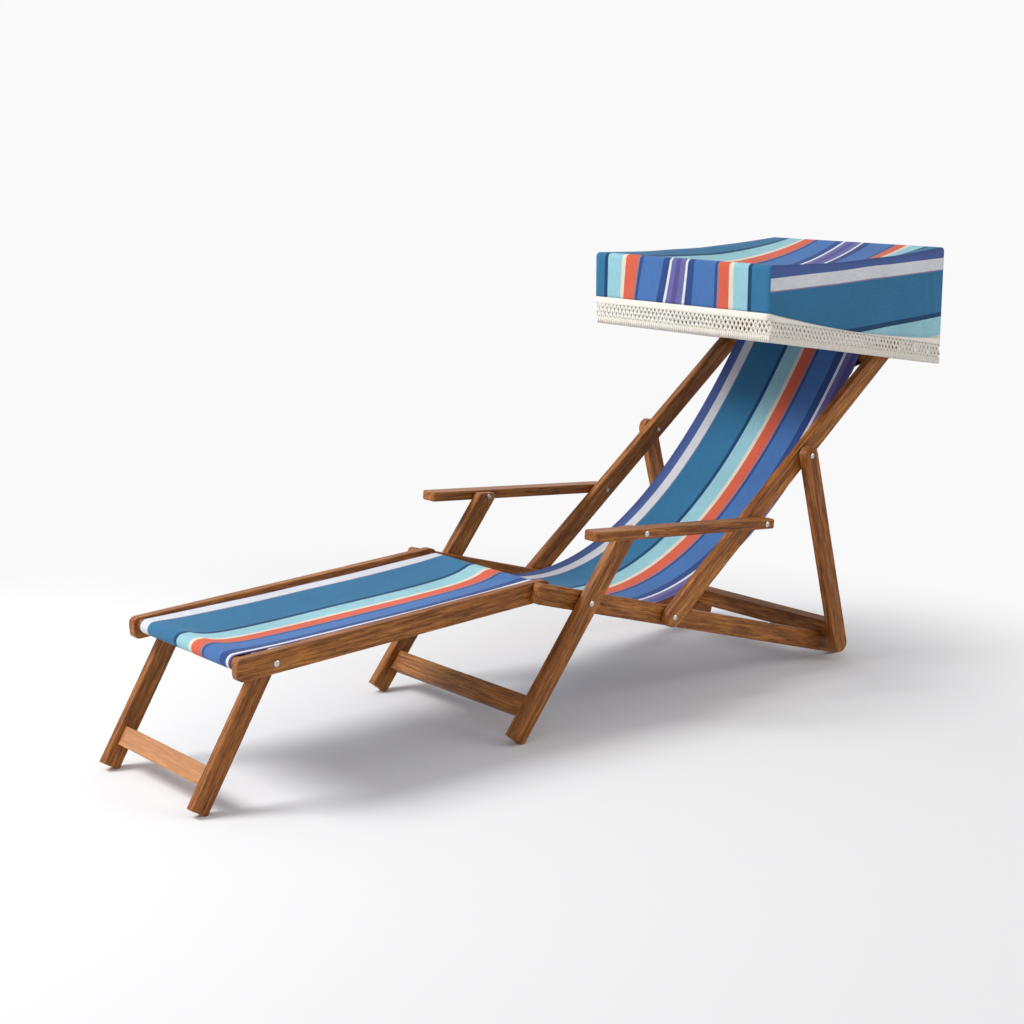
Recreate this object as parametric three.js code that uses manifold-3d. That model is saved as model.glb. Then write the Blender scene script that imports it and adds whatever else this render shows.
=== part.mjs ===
import * as THREE from "three";
import { mergeVertices } from "three/addons/utils/BufferGeometryUtils.js";
import Module from "manifold-3d";

// A folding deck chair: two long base rails, a reclining back held by a prop board in notches,
// front legs tied to the back by flat arms, a fold-out footrest on its own legs, a cloth sling
// for the seat and one for the footrest, and a fringed cloth canopy that tilts on the back rails.
// X runs across the chair, Y from the foot end to the head end, Z up. Lengths are millimetres.

const wasm = await Module();
wasm.setup();
const degree = Math.PI / 180;
const quarter = Math.PI / 2;

// Timber and fits
const timberDeep = 48;
const timberThick = 23;
const easedEdge = 2;
const sideGap = 3;
const fit = 0.3;
const overrun = 5;
const tenonLength = 14;

// Base rails, set out from the pivot of the front legs
const betweenBaseRails = 444;
const baseSlope = -16.5 * degree;
const legPivotHeight = 290.7;
const railAheadOfLegPivot = 145;
const railFrontRound = 10;
const railBehindLegPivot = 955;
const backPivotAlongRail = 281;
const notchPlaces = [353, 664, 871];
const notchDepth = 11;

// Back rails, measured from their lower pivot
const backSlope = 37.5 * degree;
const armPivotUpBack = 327;
const propPivotUpBack = 562;
const slingBarUpBack = 918;
const canopyPivotUpBack = 1075;
const backRailEnd = 1100;

// Front legs, measured from their pivot on the base rails
const frontLegLean = 51.7 * degree;
const armPivotUpLeg = 196.4;
const legTopPastArm = 18;
const legTopUnderArm = 3.5;
const frontLegFoot = 357;
const legStretcherAboveFoot = 80.5;
const legStretcherForward = 5;
const legStretcherDeep = 49;

// Arms
const armWide = 48;
const armThick = 23;
const armAheadOfLeg = 152;
const armBehindBack = 28;
const armCornerRound = 6;
const openPivotPlay = 0.8;

// Footrest and its legs, measured from the footrest's hinge
const footrestGap = 2;
const footrestRise = 2.5 * degree;
const hingeAheadOfLegPivot = 102.6;
const hingeAboveLegPivot = 37.6;
const footrestLength = 806;
const footrestCornerRound = 14;
const footLegPivotFromEnd = 92.5;
const footLegPivotBelow = 3;
const footLegDeep = 42;
const footLegLean = 31.25 * degree;
const footLegFoot = 335;
const footStretcherAboveFoot = 71;
const footBarFromEnd = 22;
const footBarAboveMiddle = 7;

// Dowels
const rollerRadius = 14;
const seatBarRadius = 12.5;
const tenonRadius = 8;
const seatBarAheadOfLegPivot = 61.6;
const seatBarAboveLegPivot = 16;

// Slings
const clothThick = 2.4;
const seatSlingGap = 7;
const seatSlingSag = 260;
const footSlingGap = 2;
const footSlingSag = 4;
const hemWrap = 270 * degree;

// Props and their board
const propPastBoard = 62;
const boardThick = 23;
const boardDeep = 48;
const boardTenonDeep = 32;

// Bolts, nuts and washers
const boltRadius = 3;
const boltHeadRadius = 7;
const boltHeadHigh = 3;
const nutAcross = 10;
const nutHigh = 5;
const boltPastNut = 1.5;
const washerRadius = 9;
const wingReach = 17;
const wingHigh = 13;
const wingThick = 3.5;
const wingHubRadius = 6;
const wingHubHigh = 7;

// Canopy frame and cover, measured from the canopy's pivot
const stripThick = 5;
const stripWide = 20;
const canopyBarRadius = 10;
const canopyTenonRadius = 6.5;
const frontBarAhead = 574;
const frontBarUp = 155;
const rearBarBehind = 85;
const rearBarUp = 169;
const coverPastStrips = 18.3;
const coverTaper = 15;
const topEdgeSag = 10;
const topMiddleSag = 32;
const frontValance = 115;
const rearValance = 237;
const foldDeep = 6;
const foldsAlong = 3;
const coverMesh = 88;

// Fringe
const fringeDrop = 70;
const fringeBand = 14;
const fringePoint = 5;
const fringeRows = 3;
const frontFringeColumns = 16;
const sideFringeColumns = 19;
const fringeStrand = 5;

// Materials
const wood = new THREE.MeshStandardMaterial({ color: 0x8a4b26, roughness: 0.45, metalness: 0 });
const steel = new THREE.MeshStandardMaterial({ color: 0xc9c6c0, roughness: 0.3, metalness: 1 });
const slingCloth = new THREE.MeshStandardMaterial({ color: 0x2f6f93, roughness: 0.9, metalness: 0 });
const canopyCloth = new THREE.MeshStandardMaterial({ color: 0x3a6aa6, roughness: 0.9, metalness: 0 });
const cotton = new THREE.MeshStandardMaterial({ color: 0xe9dfc9, roughness: 0.95, metalness: 0 });

// Points of the side view are [y, z]; a piece's own side view runs along it and across it
const distanceTo = (from, to) => Math.hypot(to[0] - from[0], to[1] - from[1]);
const angleTo = (from, to) => Math.atan2(to[1] - from[1], to[0] - from[0]);
const located = (origin, angle, along, across = 0) => [
  origin[0] + along * Math.cos(angle) - across * Math.sin(angle),
  origin[1] + along * Math.sin(angle) + across * Math.cos(angle),
];

// Layers across the chair, from the middle out on the left side
const baseInner = betweenBaseRails / 2;
const baseOuter = baseInner + timberThick;
const legInner = baseOuter + sideGap;
const legOuter = legInner + timberThick;
const propInner = legOuter + sideGap;
const propOuter = propInner + timberThick;
const armOuter = propInner + armWide;
const footrestOuter = baseInner - footrestGap;
const footrestInner = footrestOuter - timberThick;
const footLegOuter = footrestInner - sideGap;
const footLegInner = footLegOuter - timberThick;
const seatSlingWidth = 2 * (baseInner - seatSlingGap);
const footSlingWidth = 2 * (footrestInner - footSlingGap);

// Pivots in the side view
const legPivot = [0, legPivotHeight];
const backPivot = located(legPivot, baseSlope, backPivotAlongRail);
const armOnBack = located(backPivot, backSlope, armPivotUpBack);
const propPivot = located(backPivot, backSlope, propPivotUpBack);
const slingTopBar = located(backPivot, backSlope, slingBarUpBack);
const canopyPivot = located(backPivot, backSlope, canopyPivotUpBack);
const armOnLeg = located(legPivot, frontLegLean, armPivotUpLeg);
const armAngle = angleTo(armOnLeg, armOnBack);
const armSpan = distanceTo(armOnLeg, armOnBack);
const footrestHinge = [-hingeAheadOfLegPivot, legPivotHeight + hingeAboveLegPivot];
const seatBar = [-seatBarAheadOfLegPivot, legPivotHeight + seatBarAboveLegPivot];
const footrestAngle = Math.PI + footrestRise;
const footLegPivotAlong = footrestLength - footLegPivotFromEnd;
const footLegPivot = located(footrestHinge, footrestAngle, footLegPivotAlong, footLegPivotBelow);
const footBarAlong = footrestLength - footBarFromEnd;
const footBar = located(footrestHinge, footrestAngle, footBarAlong, -footBarAboveMiddle);

// The prop board's lower front edge sits at the deepest point of the last notch
const notchFloor = timberDeep / 2 - notchDepth;
const notchInUse = located(legPivot, baseSlope, notchPlaces.at(-1), notchFloor);
const boardFront = boardThick / 2 + fit;
const propToNotch = distanceTo(propPivot, notchInUse);
const propReach = Math.sqrt(propToNotch ** 2 - boardFront ** 2);
const propAngle = angleTo(propPivot, notchInUse) + Math.asin(boardFront / propToNotch);
const boardDown = propReach - fit - boardDeep / 2;

// Joining and cutting
function solidOf(geometry) {
  const plain = geometry.clone();
  plain.deleteAttribute("normal");
  plain.deleteAttribute("uv");
  const merged = mergeVertices(plain);
  return new wasm.Manifold(new wasm.Mesh({
    numProp: 3,
    vertProperties: merged.attributes.position.array,
    triVerts: new Uint32Array(merged.index.array),
  }));
}

function geometryOf(solid) {
  const mesh = solid.getMesh();
  const geometry = new THREE.BufferGeometry();
  geometry.setAttribute("position", new THREE.BufferAttribute(mesh.vertProperties, mesh.numProp));
  geometry.setIndex(new THREE.BufferAttribute(mesh.triVerts, 1));
  const faceted = geometry.toNonIndexed();
  faceted.computeVertexNormals();
  return faceted;
}

function cut(geometry, tools) {
  const whole = solidOf(geometry);
  return geometryOf(tools.reduce((solid, tool) => solid.subtract(solidOf(tool)), whole));
}

function joined(geometries) {
  return geometryOf(geometries.map(solidOf).reduce((solid, next) => solid.add(next)));
}

// The same piece for the other side of the chair
function mirrored(geometry) {
  const copy = geometry.index ? geometry.toNonIndexed() : geometry.clone();
  const source = copy.attributes.position.clone();
  const position = copy.attributes.position;
  for (let first = 0; first < position.count; first += 3) {
    for (let corner = 0; corner < 3; corner += 1) {
      const from = first + 2 - corner;
      position.setXYZ(first + corner, -source.getX(from), source.getY(from), source.getZ(from));
    }
  }
  copy.computeVertexNormals();
  return copy;
}

// Outlines of the side view
function arc(centre, radius, from, turn, steps) {
  return Array.from({ length: steps + 1 }, (_, i) => located(centre, from + turn * i / steps, radius));
}

// A timber lying along its own side view, each end square or rounded at the corners
function timber(from, to, deep, fromRound, toRound) {
  const half = deep / 2;
  const corner = (end, side, round, inward, start) => (
    round > 0
      ? arc([end + inward * round, side * (half - round)], round, start, quarter, Math.ceil(6 * round / half))
      : [[end, side * half]]
  );
  return [
    ...corner(from, -1, fromRound, 1, -Math.PI),
    ...corner(to, -1, toRound, -1, -quarter),
    ...corner(to, 1, toRound, -1, 0),
    ...corner(from, 1, fromRound, 1, quarter),
  ];
}
const fullRound = timberDeep / 2 - fit;

// The same outline cut off along a line, where the depth inside that line falls to nothing
function trimmed(outline, depth) {
  return outline.flatMap((point, i) => {
    const next = outline[(i + 1) % outline.length];
    const kept = depth(point) >= 0 ? [point] : [];
    if ((depth(point) >= 0) === (depth(next) >= 0)) return kept;
    const share = depth(point) / (depth(point) - depth(next));
    return [...kept, point.map((value, axis) => value + (next[axis] - value) * share)];
  });
}

const onFloor = (outline, origin, angle) => (
  trimmed(outline, ([along, across]) => located(origin, angle, along, across)[1])
);

// Solids across the chair
const sideView = new THREE.Matrix4().makeBasis(
  new THREE.Vector3(0, 1, 0),
  new THREE.Vector3(0, 0, 1),
  new THREE.Vector3(1, 0, 0),
);
const asPoints = (outline) => outline.map(([along, across]) => new THREE.Vector2(along, across));

function extruded(outline, thick, eased = 0, holes = []) {
  const shape = new THREE.Shape(asPoints(outline));
  shape.holes = holes.map((hole) => new THREE.Path(asPoints(hole)));
  return new THREE.ExtrudeGeometry(shape, {
    depth: thick - 2 * eased,
    bevelEnabled: eased > 0,
    bevelSize: eased,
    bevelThickness: eased,
    bevelOffset: -eased,
    bevelSegments: 1,
  }).translate(0, 0, eased);
}

function across(outline, fromX, toX, eased = 0, holes = []) {
  return extruded(outline, toX - fromX, eased, holes).applyMatrix4(sideView).translate(fromX, 0, 0);
}

function shaft(radius, fromX, toX, [along, aside], sides) {
  return new THREE.CylinderGeometry(radius, radius, toX - fromX, sides)
    .rotateZ(quarter)
    .translate((fromX + toX) / 2, along, aside);
}

// A profile of [x, radius] points turned about the X axis
function turned(profile, sides) {
  const points = profile.map(([x, radius]) => new THREE.Vector2(radius, x));
  return new THREE.LatheGeometry(points, sides).rotateZ(-quarter);
}

// Joinery
const boltHole = (fromX, toX, at, radius = boltRadius + fit) => (
  shaft(radius, fromX - overrun, toX + overrun, at, 12)
);
const dowelHole = (fromX, at) => (
  shaft(tenonRadius + fit, fromX - overrun, fromX + tenonLength + fit, at, 20)
);

function mortise(fromX, [along, aside], angle) {
  const long = tenonLength + fit + overrun;
  return new THREE.BoxGeometry(long, boardTenonDeep + 2 * fit, boardThick - 2 * easedEdge + 2 * fit)
    .rotateX(angle)
    .translate(fromX - overrun + long / 2, along, aside);
}

// A round bar with a thinner tenon at each end, and a flat board with a flat tenon at each end
function tenonedBar(radius, shoulder, tenon, end) {
  const half = [[shoulder, radius], [shoulder, tenon], [end, tenon], [end, 0]];
  const otherHalf = half.map(([x, r]) => [-x, r]).reverse();
  return turned([...otherHalf, ...half], 20);
}

function tenonedBoard(shoulder, deep) {
  const board = new THREE.BoxGeometry(2 * shoulder, deep, boardThick);
  const tenons = new THREE.BoxGeometry(2 * (shoulder + tenonLength), boardTenonDeep, boardThick - 2 * easedEdge);
  return joined([board, tenons]);
}

// Fasteners: a bolt with its domed head outside, its nut run up inside, and loose washers
function boltShank(innerEnd, outerFace) {
  const seat = outerFace + fit;
  return turned([
    [innerEnd, 0],
    [innerEnd, boltRadius],
    [seat, boltRadius],
    [seat, boltHeadRadius],
    [seat + boltHeadHigh / 3, boltHeadRadius],
    [seat + boltHeadHigh * 5 / 6, boltHeadRadius * 2 / 3],
    [seat + boltHeadHigh, 0],
  ], 12);
}

function nuttedBolt(innerFace, outerFace) {
  const nutFace = innerFace - fit;
  const shank = boltShank(nutFace - nutHigh - boltPastNut, outerFace);
  const nut = shaft(nutAcross / Math.sqrt(3), nutFace - nutHigh, nutFace, [0, 0], 6);
  return joined([shank, nut]);
}

function washer(fromX, toX) {
  const bore = boltRadius + fit;
  const faces = [fromX + fit, toX - fit];
  return turned([
    [faces[0], bore],
    [faces[0], washerRadius],
    [faces[1], washerRadius],
    [faces[1], bore],
    [faces[0], bore],
  ], 12);
}

function wingNut(innerFace) {
  const face = innerFace - fit;
  const tip = face - wingHigh;
  const wing = extruded([
    [face - wingHubHigh / 4, wingHubRadius / 2],
    [face - wingHubHigh / 4, wingHubRadius * 3 / 2],
    [tip + wingThick, wingReach],
    [tip, wingReach - wingThick],
    [tip, wingReach - 2 * wingThick],
    [face - wingHubHigh, wingHubRadius / 2],
  ].reverse(), wingThick).translate(0, 0, -wingThick / 2);
  const hub = shaft(wingHubRadius, face - wingHubHigh, face, [0, 0], 12);
  const bore = boltHole(tip, face, [0, 0]);
  return cut(joined([hub, wing, wing.clone().rotateX(Math.PI)]), [bore]);
}

// The chair and its placing
const chair = new THREE.Group();

function place(name, geometry, material, [y, z], angle = 0) {
  const mesh = new THREE.Mesh(geometry, material);
  mesh.name = name;
  mesh.position.set(0, y, z);
  mesh.rotation.x = angle;
  chair.add(mesh);
}

function placePair(name, leftGeometry, material, at, angle) {
  place(`${name}_left`, leftGeometry, material, at, angle);
  place(`${name}_right`, mirrored(leftGeometry), material, at, angle);
}

// Base rails: corners rounded in front, flat on the floor behind, notches in the top edge
function baseRail() {
  const outline = onFloor(
    timber(-railAheadOfLegPivot, railBehindLegPivot, timberDeep, railFrontRound, 0),
    legPivot,
    baseSlope,
  );
  const notches = notchPlaces.map((along) => (
    new THREE.BoxGeometry(timberThick + 2 * overrun, timberDeep, timberDeep)
      .translate((baseInner + baseOuter) / 2, -timberDeep / 2, timberDeep / 2)
      .rotateX(propAngle - baseSlope)
      .translate(0, along, notchFloor)
  ));
  const inRail = (point) => {
    const angle = angleTo(legPivot, point) - baseSlope;
    return located([0, 0], angle, distanceTo(legPivot, point));
  };
  return cut(across(outline, baseInner, baseOuter, easedEdge), [
    ...notches,
    boltHole(baseInner, baseOuter, [0, 0]),
    boltHole(baseInner, baseOuter, [backPivotAlongRail, 0]),
    dowelHole(baseInner, inRail(footrestHinge)),
    dowelHole(baseInner, inRail(seatBar)),
  ]);
}
placePair("base_rail", baseRail(), wood, legPivot, baseSlope);

const seatBarTurned = tenonedBar(seatBarRadius, baseInner - fit, tenonRadius, baseInner + tenonLength);
place("seat_front_bar", seatBarTurned, wood, seatBar);

// Back rails and the bar that holds the top of the sling
function backRail() {
  const outline = timber(-timberDeep / 2, backRailEnd, timberDeep, fullRound, fullRound);
  return cut(across(outline, legInner, legOuter, easedEdge), [
    ...[0, armPivotUpBack, propPivotUpBack, canopyPivotUpBack].map((along) => (
      boltHole(legInner, legOuter, [along, 0])
    )),
    dowelHole(legInner, [slingBarUpBack, 0]),
  ]);
}
placePair("back_rail", backRail(), wood, backPivot, backSlope);

const topBarTurned = tenonedBar(rollerRadius, legInner - fit, tenonRadius, legInner + tenonLength);
place("sling_top_bar", topBarTurned, wood, slingTopBar);

// Front legs: flat on the floor, cut off along the arms at the top, a stretcher between them
const frontLegAngle = Math.PI + frontLegLean;
const stretcherInLeg = [frontLegFoot - legStretcherAboveFoot, legStretcherForward];

function depthUnderArmTop([along, across]) {
  const [y, z] = located(legPivot, frontLegAngle, along, across);
  const [, aboveArmMiddle] = located([0, 0], -armAngle, y - armOnLeg[0], z - armOnLeg[1]);
  return armThick / 2 - legTopUnderArm - aboveArmMiddle;
}

function frontLeg() {
  const whole = timber(-armPivotUpLeg - legTopPastArm, frontLegFoot, timberDeep, timberDeep / 4, 0);
  const outline = trimmed(onFloor(whole, legPivot, frontLegAngle), depthUnderArmTop);
  return cut(across(outline, legInner, legOuter, easedEdge), [
    boltHole(legInner, legOuter, [0, 0]),
    boltHole(legInner, legOuter, [-armPivotUpLeg, 0]),
    mortise(legInner, stretcherInLeg, 0),
  ]);
}
placePair("front_leg", frontLeg(), wood, legPivot, frontLegAngle);

const legStretcher = located(legPivot, frontLegAngle, ...stretcherInLeg);
const legStretcherBoard = tenonedBoard(legInner - fit, legStretcherDeep);
place("front_leg_stretcher", legStretcherBoard, wood, legStretcher, frontLegAngle);

// Arms: flat boards with round corners, bolted through their width
function arm() {
  const ends = [-armAheadOfLeg, armSpan + armBehindBack];
  const plan = timber(...ends, armWide, armCornerRound, armCornerRound);
  const board = extruded(plan, armThick, easedEdge)
    .rotateZ(quarter)
    .translate((propInner + armOuter) / 2, 0, -armThick / 2);
  return cut(board, [
    boltHole(propInner, armOuter, [0, 0], boltRadius + fit + openPivotPlay),
    boltHole(propInner, armOuter, [armSpan, 0]),
  ]);
}
placePair("arm", arm(), wood, armOnLeg, armAngle);

// Props, and the board between them that drops into the notches
function prop() {
  const ends = [-timberDeep / 2, boardDown + propPastBoard];
  const outline = timber(...ends, timberDeep, fullRound, fullRound);
  return cut(across(outline, propInner, propOuter, easedEdge), [
    boltHole(propInner, propOuter, [0, 0]),
    mortise(propInner, [boardDown, 0], 0),
  ]);
}
placePair("prop", prop(), wood, propPivot, propAngle);

const boardCentre = located(propPivot, propAngle, boardDown);
place("prop_board", tenonedBoard(propInner - fit, boardDeep), wood, boardCentre, propAngle);

// Footrest: side rails, the roller they turn on and the bar at the foot end
function footrestRail() {
  const outline = timber(-timberDeep / 2, footrestLength, timberDeep, fullRound, footrestCornerRound);
  return cut(across(outline, footrestInner, footrestOuter, easedEdge), [
    boltHole(footrestInner, footrestOuter, [footLegPivotAlong, footLegPivotBelow]),
    boltHole(footrestInner, footrestOuter, [0, 0], tenonRadius + fit),
    dowelHole(footrestInner, [footBarAlong, -footBarAboveMiddle]),
  ]);
}
placePair("footrest_rail", footrestRail(), wood, footrestHinge, footrestAngle);

const rollerTurned = tenonedBar(rollerRadius, footrestInner - fit, tenonRadius, baseInner + tenonLength);
const footBarTurned = tenonedBar(rollerRadius, footrestInner - fit, tenonRadius, footrestInner + tenonLength);
place("footrest_roller", rollerTurned, wood, footrestHinge);
place("footrest_front_bar", footBarTurned, wood, footBar);

// Footrest legs and the stretcher between them
const footLegAngle = -quarter - footLegLean;
const footStretcherDown = footLegFoot - footStretcherAboveFoot;

function footLeg() {
  const outline = onFloor(
    timber(-footLegDeep / 2, footLegFoot, footLegDeep, footLegDeep / 2 - fit, 0),
    footLegPivot,
    footLegAngle,
  );
  return cut(across(outline, footLegInner, footLegOuter, easedEdge), [
    boltHole(footLegInner, footLegOuter, [0, 0]),
    mortise(footLegInner, [footStretcherDown, 0], 0),
  ]);
}
placePair("foot_leg", footLeg(), wood, footLegPivot, footLegAngle);

const footStretcher = located(footLegPivot, footLegAngle, footStretcherDown);
place("foot_leg_stretcher", tenonedBoard(footLegInner - fit, footLegDeep), wood, footStretcher, footLegAngle);

// Cloth hung from bar to bar: a parabola that leaves each bar along the bar's surface
function hang(lowBar, lowRadius, highBar, highRadius, sag, steps) {
  let slopes = [0, 0];
  let ends = [lowBar, highBar];
  for (let round = 0; round < 12; round += 1) {
    ends = [
      located(lowBar, Math.atan(slopes[0]), 0, lowRadius),
      located(highBar, Math.atan(slopes[1]), 0, highRadius),
    ];
    const run = ends[1][0] - ends[0][0];
    const chord = (ends[1][1] - ends[0][1]) / run;
    slopes = [chord - 4 * sag / run, chord + 4 * sag / run];
  }
  const [low, high] = ends;
  const line = Array.from({ length: steps + 1 }, (_, i) => {
    const share = i / steps;
    const bend = 4 * sag * share * (1 - share);
    return [low[0] + (high[0] - low[0]) * share, low[1] + (high[1] - low[1]) * share - bend];
  });
  return { line, lowAngle: Math.atan(slopes[0]) + quarter, highAngle: Math.atan(slopes[1]) + quarter };
}

// Outline of a sling: up over one bar, along the hang and round the other, then back underneath
function slingOutline(frontBar, frontRadius, rearBar, rearRadius, sag) {
  const face = (offset) => {
    const radii = [frontRadius + fit + offset, rearRadius + fit + offset];
    const { line, lowAngle, highAngle } = hang(frontBar, radii[0], rearBar, radii[1], sag, 30);
    return [
      ...arc(frontBar, radii[0], lowAngle + hemWrap, -hemWrap, 18),
      ...line.slice(1, -1),
      ...arc(rearBar, radii[1], highAngle, -hemWrap, 18),
    ];
  };
  return [...face(clothThick), ...face(0).reverse()];
}

function sling(width, ...bars) {
  return across(slingOutline(...bars), -width / 2, width / 2);
}
const footSling = sling(footSlingWidth, footBar, rollerRadius, footrestHinge, rollerRadius, footSlingSag);
const seatSling = sling(seatSlingWidth, seatBar, seatBarRadius, slingTopBar, rollerRadius, seatSlingSag);
place("footrest_sling", footSling, slingCloth, [0, 0]);
place("seat_sling", seatSling, slingCloth, [0, 0]);

// Canopy frame: a steel strip each side to the front bar and one to the rear bar, on one bolt
const frontBar = [-frontBarAhead, frontBarUp];
const rearBar = [rearBarBehind, rearBarUp];
const frontStripOuter = propInner + stripThick;
const rearStripInner = frontStripOuter + fit;
const rearStripOuter = rearStripInner + stripThick;

function strip(bar, fromX, toX) {
  const length = distanceTo([0, 0], bar);
  const outline = timber(-stripWide / 2, length + stripWide / 2, stripWide, stripWide / 2 - fit, stripWide / 2 - fit);
  return cut(across(outline, fromX, toX), [
    boltHole(fromX, toX, [0, 0]),
    boltHole(fromX, toX, [length, 0], canopyTenonRadius + fit),
  ]);
}
const frontStrip = strip(frontBar, propInner, frontStripOuter);
const rearStrip = strip(rearBar, rearStripInner, rearStripOuter);
placePair("canopy_front_strip", frontStrip, steel, canopyPivot, angleTo([0, 0], frontBar));
placePair("canopy_rear_strip", rearStrip, steel, canopyPivot, angleTo([0, 0], rearBar));

const coverInner = rearStripOuter + coverPastStrips;
const frontBarEnd = coverInner - sideGap;
const rearBarEnd = frontBarEnd - coverTaper;
const frontBarTurned = tenonedBar(canopyBarRadius, propInner - fit, canopyTenonRadius, frontBarEnd);
const rearBarTurned = tenonedBar(canopyBarRadius, frontStripOuter, canopyTenonRadius, rearBarEnd);
place("canopy_front_bar", frontBarTurned, wood, located(canopyPivot, 0, ...frontBar));
place("canopy_rear_bar", rearBarTurned, wood, located(canopyPivot, 0, ...rearBar));

// Canopy cover: one cloth shell, open below, whose top sags between the two bars
const coverOuter = coverInner + clothThick;
const coverRound = canopyBarRadius + fit + clothThick;
const coverFront = -frontBarAhead - coverRound;
const coverRear = rearBarBehind + coverRound;
const hemFront = frontBarUp + coverRound - frontValance;
const hemRear = rearBarUp + coverRound - rearValance;

function coverOutline(inset, below) {
  const radius = coverRound - inset;
  const { line, lowAngle, highAngle } = hang(frontBar, radius, rearBar, radius, topEdgeSag, 14);
  return [
    [coverFront + inset, hemFront - below],
    ...arc(frontBar, radius, Math.PI, lowAngle - Math.PI, 6),
    ...line.slice(1, -1),
    ...arc(rearBar, radius, highAngle, -highAngle, 6),
    [coverRear - inset, hemRear - below],
  ].reverse();
}

// The cover narrows to the rear, its top sags most along the middle, and its sides hang in folds
function draped(cloth) {
  return geometryOf(cloth.warp((point) => {
    const [x, y, z] = point;
    const along = THREE.MathUtils.clamp(THREE.MathUtils.inverseLerp(-frontBarAhead, rearBarBehind, y), 0, 1);
    const aside = x / coverInner;
    const topEdge = THREE.MathUtils.lerp(frontBarUp, rearBarUp, along);
    const fall = Math.max(0, topEdge - topEdgeSag - z) / rearValance;
    const fold = Math.sin(Math.PI * along) * (1 - Math.cos(2 * Math.PI * foldsAlong * along)) / 2;
    point[0] = x - coverTaper * aside * along + foldDeep * fold * fall * aside;
    point[2] = z - topMiddleSag * (1 - aside ** 2) * Math.sin(Math.PI * along) ** 2;
  }));
}
const coverShell = cut(
  across(coverOutline(0, 0), -coverOuter, coverOuter),
  [across(coverOutline(clothThick, overrun), -coverInner, coverInner)],
);
const coverDraped = draped(solidOf(coverShell).refineToLength(coverMesh));
place("canopy_cover", coverDraped, canopyCloth, canopyPivot);

// Fringe: a knotted band with rows of diamond holes and a pointed lower edge
function fringe(length, fall, columns) {
  const pitch = length / columns;
  const rowHigh = (fringeDrop - fringeBand - fringePoint) / fringeRows;
  const at = (along, down) => [along, fall * along / length - down];
  const bottom = Array.from({ length: columns }, (_, i) => [
    at(i * pitch, fringeDrop - fringePoint),
    at((i + 1 / 2) * pitch, fringeDrop),
  ]).flat();
  const holes = Array.from({ length: columns * fringeRows }, (_, i) => {
    const along = (i % columns + 1 / 2) * pitch;
    const down = fringeBand + Math.floor(i / columns) * rowHigh;
    return [
      at(along, down),
      at(along - pitch / 2 + fringeStrand, down + (rowHigh - fringeStrand) / 2),
      at(along, down + rowHigh - fringeStrand),
      at(along + pitch / 2 - fringeStrand, down + (rowHigh - fringeStrand) / 2),
    ];
  });
  const seam = Array.from({ length: columns + 1 }, (_, i) => at(length - i * pitch, 0));
  const outline = [...bottom, at(length, fringeDrop - fringePoint), ...seam];
  return extruded(outline, clothThick, 0, holes).applyMatrix4(sideView);
}
const fringeAlong = fringe(coverRear - coverFront, hemRear - hemFront, sideFringeColumns)
  .translate(coverInner, coverFront, hemFront - fit);
placePair("fringe", draped(solidOf(fringeAlong)), cotton, canopyPivot);

const acrossHalf = coverInner - fit;
const hemSlope = (hemFront - hemRear) / (coverRear - coverFront);
const frontSeam = hemFront - clothThick * hemSlope - fit;
const fringeAcross = fringe(2 * acrossHalf, 0, frontFringeColumns).rotateZ(-quarter);
const frontFringe = fringeAcross.clone().translate(-acrossHalf, coverFront + clothThick, frontSeam);
const rearFringe = fringeAcross.clone().translate(-acrossHalf, coverRear, hemRear - fit);
place("fringe_front", draped(solidOf(frontFringe)), cotton, canopyPivot);
place("fringe_rear", draped(solidOf(rearFringe)), cotton, canopyPivot);

// Fasteners at the pivots
placePair("leg_bolt", nuttedBolt(baseInner, legOuter), steel, legPivot);
placePair("leg_washer", washer(baseOuter, legInner), steel, legPivot);
placePair("back_bolt", nuttedBolt(baseInner, legOuter), steel, backPivot);
placePair("back_washer", washer(baseOuter, legInner), steel, backPivot);
placePair("arm_front_bolt", nuttedBolt(legInner, armOuter), steel, armOnLeg);
placePair("arm_rear_bolt", nuttedBolt(legInner, armOuter), steel, armOnBack);
placePair("prop_bolt", nuttedBolt(legInner, propOuter), steel, propPivot);
placePair("prop_washer", washer(legOuter, propInner), steel, propPivot);
placePair("foot_leg_bolt", nuttedBolt(footLegInner, footrestOuter), steel, footLegPivot);
placePair("foot_leg_washer", washer(footLegOuter, footrestInner), steel, footLegPivot);

const canopyBolt = boltShank(legInner - fit - wingHigh, rearStripOuter);
placePair("canopy_bolt", canopyBolt, steel, canopyPivot);
placePair("canopy_wing_nut", wingNut(legInner), steel, canopyPivot);

// The origin is under the middle of the whole chair, on the floor
const bounds = new THREE.Box3().setFromObject(chair, true);
const middle = bounds.getCenter(new THREE.Vector3());
chair.position.set(-middle.x, -middle.y, -bounds.min.z);

export default chair;
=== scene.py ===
import math

import bmesh
import bpy
from mathutils import Matrix, Vector, noise


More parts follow.
